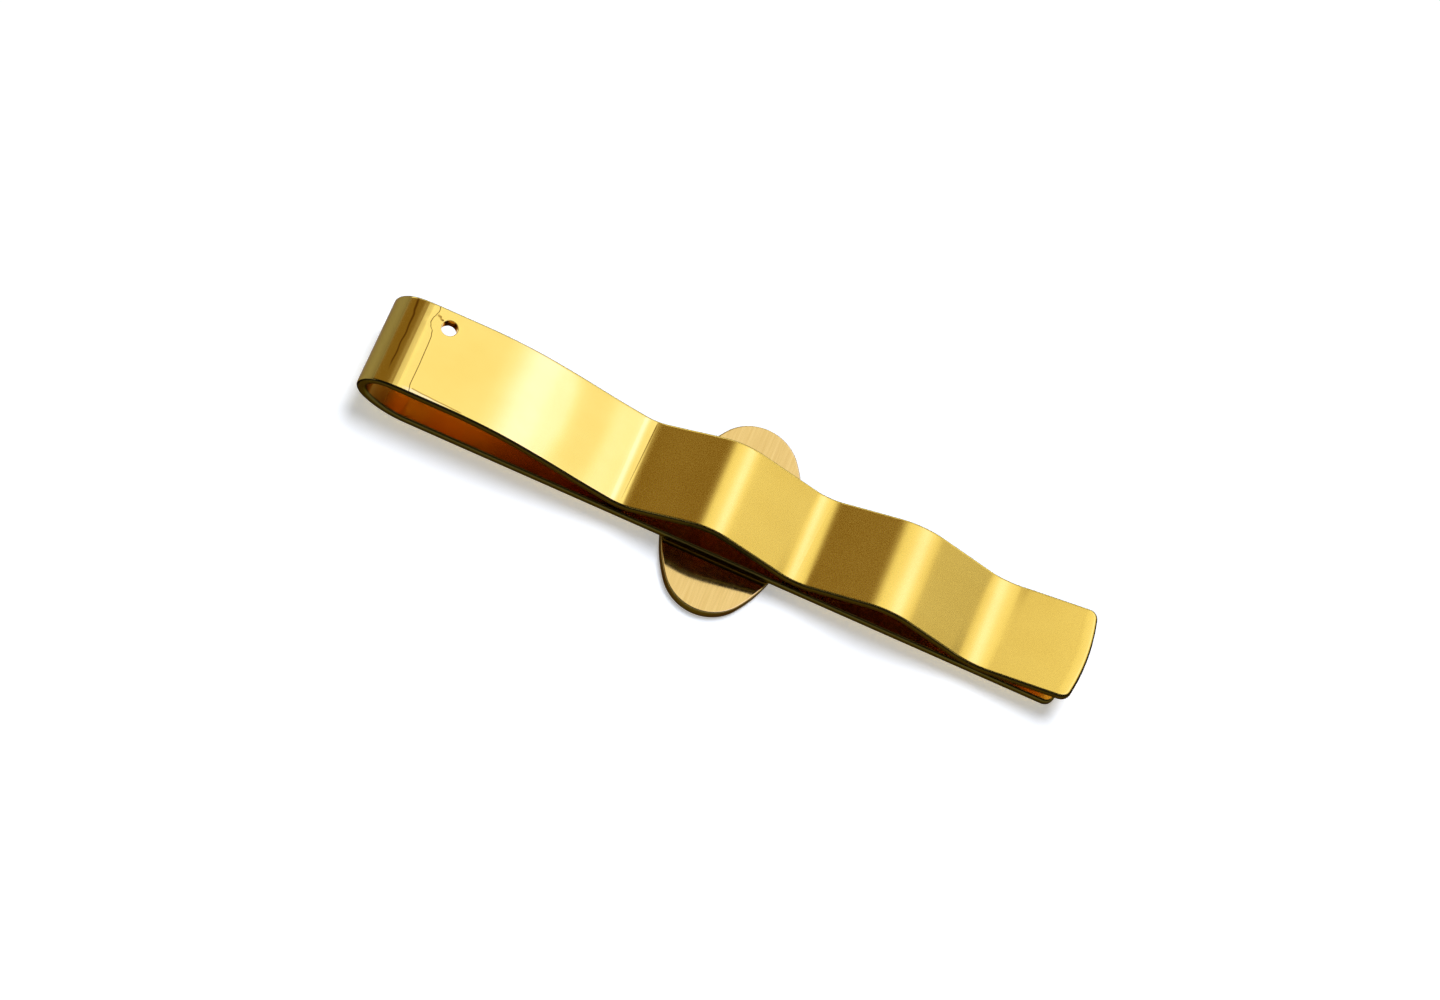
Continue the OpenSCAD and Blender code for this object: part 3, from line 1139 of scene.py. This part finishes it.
def makePanels():  # the metal reflects them, and they don't light the floor
    near, far = studio["panelNear"], studio["panelFar"]
    depth = far - near
    for i, (low, high, brightness) in enumerate(studio["panels"]):
        place = ((low + high) / 2, (near + far) / 2, studio["panelHeight"])
        power = math.pi * (high - low) * depth * max(brightness)
        colour = [b / max(brightness) for b in brightness]
        lamp = addLamp("softPanel%d" % i, "AREA", place, power, colour)
        lamp.data.shape = "RECTANGLE"
        lamp.data.size, lamp.data.size_y = high - low, depth
        lamp.visible_diffuse = False


overhead = {
    "from": (0.07, 0.17, 1.0),
    "spread": 20,  # degrees
    "share": 0.72,  # of the floor's light; the fill and the floor's own glow give the rest
    "fillHeight": 0.9,
    "fillSize": 1.8,
    "fillBrightness": 0.3,
    "fillColour": (0.8, 0.88, 1.0),
}


def makeOverheadLight():  # it lights the floor, and the metal doesn't reflect it
    way = Vector(overhead["from"]).normalized()
    key = addLamp("overheadKey", "SUN", way, overhead["share"] * math.pi / way.z)
    key.data.angle = math.radians(overhead["spread"])
    key.rotation_euler = way.to_track_quat("Z", "Y").to_euler()
    key.visible_glossy = False
    size = overhead["fillSize"]
    power = math.pi * size * size * overhead["fillBrightness"]
    place = (0, 0, overhead["fillHeight"])
    fill = addLamp("overheadFill", "AREA", place, power, overhead["fillColour"])
    fill.data.shape = "SQUARE"
    fill.data.size = size
    fill.visible_glossy = False


def seenRays(tree):  # 1 where the camera sees a surface, also in metal or through glass
    rays = addNode(tree, "ShaderNodeLightPath").outputs
    seen = combined(tree, "MAXIMUM", rays["Is Camera Ray"], rays["Is Glossy Ray"])
    return combined(tree, "MAXIMUM", seen, rays["Is Transmission Ray"])


def makeFloor():
    bm = bmesh.new()
    sides, radius = studio["floorSides"], studio["floorRadius"]
    bmesh.ops.create_circle(bm, cap_ends=True, radius=radius, segments=sides)
    mesh = bpy.data.meshes.new("paleFloor")
    bm.to_mesh(mesh)
    bm.free()
    floor = addObject("paleFloor", mesh)
    floor.location.z = -studio["floorDrop"]
    material, tree, shader = newFinish("pale_floor")
    shader.inputs["Base Color"].default_value = studio["floorColour"]
    shader.inputs["Roughness"].default_value = studio["floorRough"]
    shader.inputs["Specular IOR Level"].default_value = 0.0
    glow = combined(tree, "MULTIPLY", seenRays(tree), studio["floorGlow"])
    feed(tree, shader.inputs["Emission Strength"], glow)
    shader.inputs["Emission Color"].default_value = studio["glowColour"]
    mesh.materials.append(material)


def makeRoom():
    world = bpy.data.worlds.new("studioRoom")
    world.use_nodes = True
    tree = world.node_tree
    way = addNode(tree, "ShaderNodeTexCoord").outputs["Generated"]
    height = addNode(tree, "ShaderNodeSeparateXYZ", {"Vector": way}).outputs["Z"]
    low = mapped(tree, height, 1.0, 0.0, studio["horizon"])
    seen = combined(tree, "MULTIPLY", low, seenRays(tree))
    colour = mixed(tree, seen, studio["room"], studio["backdrop"])
    feed(tree, tree.nodes["Background"].inputs["Color"], colour)
    bpy.context.scene.world = world


makePanels()
makeOverheadLight()
makeFloor()
makeRoom()
bpy.context.scene.view_settings.view_transform = "Standard"
print("studio made")
